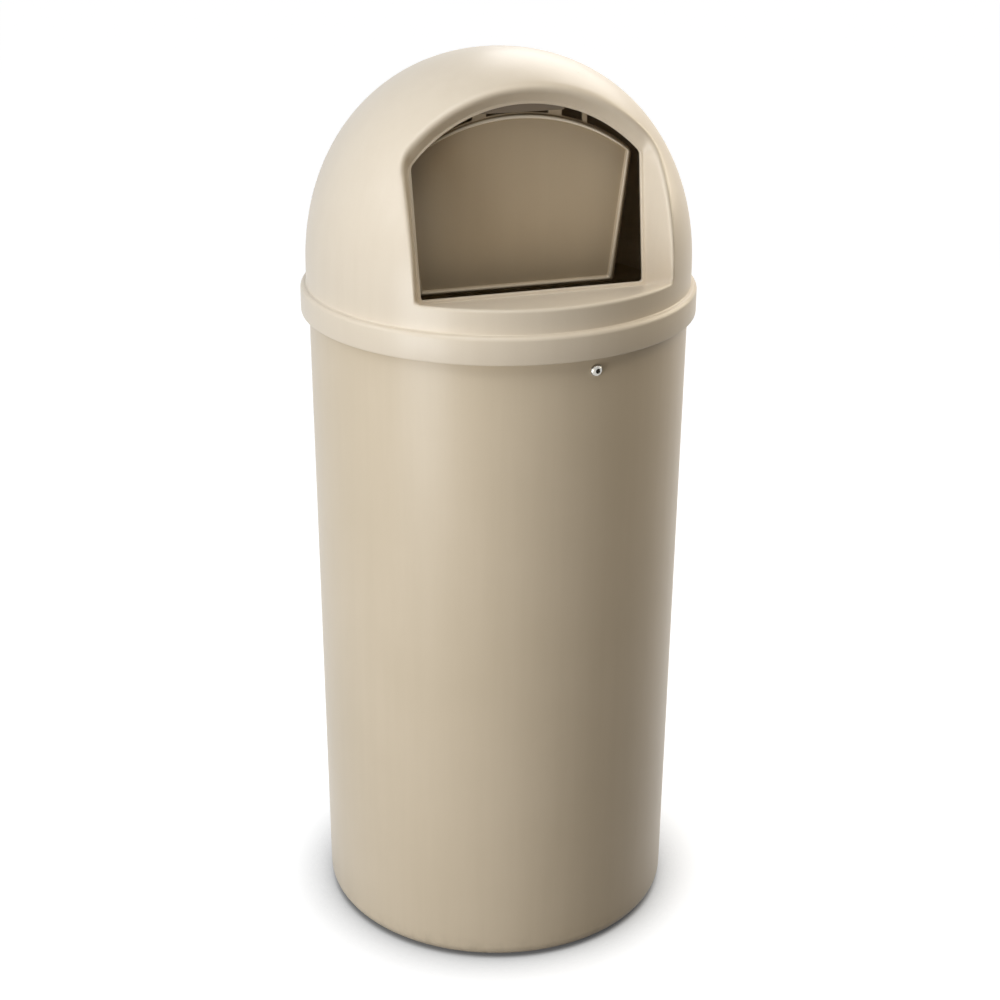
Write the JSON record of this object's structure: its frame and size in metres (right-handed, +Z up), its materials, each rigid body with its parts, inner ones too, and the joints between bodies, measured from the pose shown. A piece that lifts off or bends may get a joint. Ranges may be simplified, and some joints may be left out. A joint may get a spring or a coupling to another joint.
{
  "type": "dome top waste receptacle",
  "caption": "Tall round waste bin with a gently tapered body and a lift-off domed lid, whose recessed arched opening holds a sprung push door that swings inward.",
  "frame": {"origin": "centre of the foot ring on the floor", "axes": "+Z up, the opening and its door face -Y, +X to the right of a person who faces the door"},
  "size_m": [0.461, 0.461, 1.063],
  "materials": {
    "beige_plastic": "moulded plastic, fine satin texture",
    "door_plastic": "moulded plastic, smooth satin",
    "plated_steel": "bright zinc plating",
    "spring_steel": "drawn wire, oiled",
    "nylon": "natural moulded nylon",
    "black_rubber": "moulded, dull"
  },
  "bodies": {
    "bin": {"bin_body": "beige_plastic", "lid_screw_front": "plated_steel", "lid_screw_rear": "plated_steel", "lid_washer_front": "plated_steel", "lid_washer_rear": "plated_steel", "lid_nut_front": "plated_steel", "lid_nut_rear": "plated_steel"},
    "dome": {"dome_lid": "beige_plastic", "hinge_rod": "plated_steel", "rod_clip_left": "plated_steel", "rod_clip_right": "plated_steel", "stop_pad_left": "black_rubber", "stop_pad_right": "black_rubber", "door_spring_left": "spring_steel", "door_spring_right": "spring_steel"},
    "door": {"door_panel": "door_plastic", "hinge_bush_inner_left": "nylon", "hinge_bush_inner_right": "nylon", "hinge_bush_outer_left": "nylon", "hinge_bush_outer_right": "nylon"}
  },
  "joints": [
    {"name": "lid_lift", "type": "slide", "parent": "bin", "child": "dome", "axis": [0, 0, 1], "range_m": [0, 0.25]},
    {"name": "door_swing", "type": "hinge", "parent": "dome", "child": "door", "pos_m": [0, -0.056, 1.018], "axis": [1, 0, 0], "range_deg": [0, 65], "stiffness_Nm_per_rad": 0.15, "springref_deg": -17.19}
  ]
}
